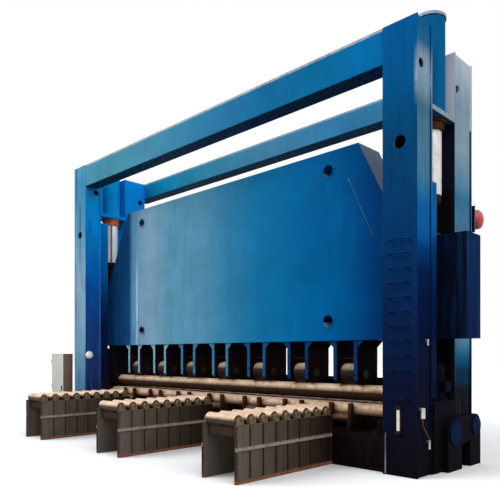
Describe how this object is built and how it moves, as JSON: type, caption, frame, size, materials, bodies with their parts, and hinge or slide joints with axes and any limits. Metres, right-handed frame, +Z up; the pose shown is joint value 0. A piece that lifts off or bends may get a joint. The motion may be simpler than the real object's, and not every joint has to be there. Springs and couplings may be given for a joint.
{
  "type": "plate rolling machine",
  "caption": "Hydraulic roll bending machine for long ship plate: portals with rams, deep press beam, backed upper roll over a pair of lower rolls, driven end and infeed roller tables.",
  "frame": {"origin": "on the floor, at the middle of the foundation bolt rectangle, half-way between the portals and in the middle plane of the press beam", "axes": "+X along the rolls towards the driven end, +Y from the feeding side to the rear, +Z up"},
  "size_m": [13.962, 5.255, 8.745],
  "materials": {
    "frame_paint": "blue gloss machine paint",
    "beam_paint": "blue gloss machine paint",
    "bed_paint": "dark blue paint with mill dirt",
    "table_paint": "worn grey-brown paint with rust",
    "drive_paint": "dark blue paint",
    "cabinet_paint": "light grey powder coat",
    "vessel_paint": "red gloss paint",
    "roll_steel": "turned steel with a film of rust",
    "hard_chrome": "ground hard chrome",
    "bronze": "dull bronze",
    "sight_tube": "milky clear tube",
    "dark_steel": "dark oiled steel"
  },
  "bodies": {
    "frame": {"bed": "bed_paint", "left_front_column": "frame_paint", "right_front_column": "frame_paint", "left_rear_column": "frame_paint", "right_rear_column": "frame_paint", "left_crown_plate": "frame_paint", "right_crown_plate": "frame_paint", "front_tie_beam": "frame_paint", "rear_tie_beam": "frame_paint", "beam_guides": "frame_paint", "left_ram_barrel": "frame_paint", "right_ram_barrel": "frame_paint", "left_gland": "bronze", "right_gland": "bronze", "lower_brackets": "bed_paint", "lower_backing_pins": "dark_steel", "lower_roll_bearings": "bed_paint", "reducer": "drive_paint", "gear_case": "drive_paint", "drive_motor": "drive_paint", "ladder_rungs": "frame_paint", "gauge_frame": "dark_steel", "gauge_tube": "sight_tube", "lubricators": "hard_chrome", "left_table": "table_paint", "middle_table": "table_paint", "right_table": "table_paint", "cabinet": "cabinet_paint", "vessel_bracket": "frame_paint", "pressure_vessel": "vessel_paint"},
    "press": {"left_plunger": "hard_chrome", "right_plunger": "hard_chrome", "left_knuckle": "dark_steel", "right_knuckle": "dark_steel", "press_beam": "beam_paint", "upper_brackets": "beam_paint", "upper_backing_pins": "dark_steel", "upper_roll_bearings": "bed_paint"},
    "upper_roll": {"upper_roll": "roll_steel"},
    "upper_backing": {"upper_backing_rollers": "roll_steel"},
    "front_roll": {"front_lower_roll": "roll_steel", "front_coupling": "dark_steel"},
    "rear_roll": {"rear_lower_roll": "roll_steel", "rear_coupling": "dark_steel"},
    "backing_1": {"backing_row_1": "roll_steel"},
    "backing_2": {"backing_row_2": "roll_steel"},
    "backing_3": {"backing_row_3": "roll_steel"},
    "backing_4": {"backing_row_4": "roll_steel"},
    "table_row_1": {"table_roller_1": "roll_steel"},
    "table_row_2": {"table_roller_2": "roll_steel"},
    "table_row_3": {"table_roller_3": "roll_steel"},
    "table_row_4": {"table_roller_4": "roll_steel"},
    "table_row_5": {"table_roller_5": "roll_steel"},
    "table_row_6": {"table_roller_6": "roll_steel"},
    "table_row_7": {"table_roller_7": "roll_steel"},
    "table_row_8": {"table_roller_8": "roll_steel"},
    "table_row_9": {"table_roller_9": "roll_steel"},
    "door": {"cabinet_door": "cabinet_paint"},
    "handle": {"cabinet_handle": "dark_steel"}
  },
  "joints": [
    {"name": "beam_lift", "type": "slide", "parent": "frame", "child": "press", "axis": [0, 0, 1], "range_m": [0, 0.9]},
    {"name": "upper_roll_spin", "type": "hinge", "parent": "press", "child": "upper_roll", "pos_m": [0, 0, 1.385], "axis": [1, 0, 0], "continuous": true},
    {"name": "upper_backing_spin", "type": "hinge", "parent": "press", "child": "upper_backing", "pos_m": [0, 0, 1.7854], "axis": [1, 0, 0], "continuous": true},
    {"name": "front_roll_spin", "type": "hinge", "parent": "frame", "child": "front_roll", "pos_m": [0, -0.24, 1.06], "axis": [1, 0, 0], "continuous": true},
    {"name": "rear_roll_spin", "type": "hinge", "parent": "frame", "child": "rear_roll", "pos_m": [0, 0.24, 1.06], "axis": [1, 0, 0], "continuous": true},
    {"name": "backing_1_spin", "type": "hinge", "parent": "frame", "child": "backing_1", "pos_m": [0, -0.36, 0.85169], "axis": [1, 0, 0], "continuous": true},
    {"name": "backing_2_spin", "type": "hinge", "parent": "frame", "child": "backing_2", "pos_m": [0, -0.12, 0.85169], "axis": [1, 0, 0], "continuous": true},
    {"name": "backing_3_spin", "type": "hinge", "parent": "frame", "child": "backing_3", "pos_m": [0, 0.12, 0.85169], "axis": [1, 0, 0], "continuous": true},
    {"name": "backing_4_spin", "type": "hinge", "parent": "frame", "child": "backing_4", "pos_m": [0, 0.36, 0.85169], "axis": [1, 0, 0], "continuous": true},
    {"name": "table_row_1_spin", "type": "hinge", "parent": "frame", "child": "table_row_1", "pos_m": [0, -1.145, 1.07], "axis": [1, 0, 0], "continuous": true},
    {"name": "table_row_2_spin", "type": "hinge", "parent": "frame", "child": "table_row_2", "pos_m": [0, -1.45, 1.07], "axis": [1, 0, 0], "continuous": true},
    {"name": "table_row_3_spin", "type": "hinge", "parent": "frame", "child": "table_row_3", "pos_m": [0, -1.755, 1.07], "axis": [1, 0, 0], "continuous": true},
    {"name": "table_row_4_spin", "type": "hinge", "parent": "frame", "child": "table_row_4", "pos_m": [0, -2.06, 1.07], "axis": [1, 0, 0], "continuous": true},
    {"name": "table_row_5_spin", "type": "hinge", "parent": "frame", "child": "table_row_5", "pos_m": [0, -2.365, 1.07], "axis": [1, 0, 0], "continuous": true},
    {"name": "table_row_6_spin", "type": "hinge", "parent": "frame", "child": "table_row_6", "pos_m": [0, -2.67, 1.07], "axis": [1, 0, 0], "continuous": true},
    {"name": "table_row_7_spin", "type": "hinge", "parent": "frame", "child": "table_row_7", "pos_m": [0, -2.975, 1.07], "axis": [1, 0, 0], "continuous": true},
    {"name": "table_row_8_spin", "type": "hinge", "parent": "frame", "child": "table_row_8", "pos_m": [0, -3.28, 1.07], "axis": [1, 0, 0], "continuous": true},
    {"name": "table_row_9_spin", "type": "hinge", "parent": "frame", "child": "table_row_9", "pos_m": [0, -3.585, 1.07], "axis": [1, 0, 0], "continuous": true},
    {"name": "door_swing", "type": "hinge", "parent": "frame", "child": "door", "pos_m": [-7.332, -1.322, 1.165], "axis": [0, 0, -1], "range_deg": [0, 110]},
    {"name": "handle_turn", "type": "hinge", "parent": "door", "child": "handle", "pos_m": [-6.61, -1.322, 1.15], "axis": [0, 1, 0], "range_deg": [0, 90]}
  ],
  "couplings": [
    {"joint": "upper_backing_spin", "follows": "upper_roll_spin", "ratio": -0.73913},
    {"joint": "rear_roll_spin", "follows": "front_roll_spin", "ratio": 1},
    {"joint": "backing_1_spin", "follows": "front_roll_spin", "ratio": -1.1818},
    {"joint": "backing_2_spin", "follows": "front_roll_spin", "ratio": -1.1818},
    {"joint": "backing_3_spin", "follows": "front_roll_spin", "ratio": -1.1818},
    {"joint": "backing_4_spin", "follows": "front_roll_spin", "ratio": -1.1818}
  ]
}
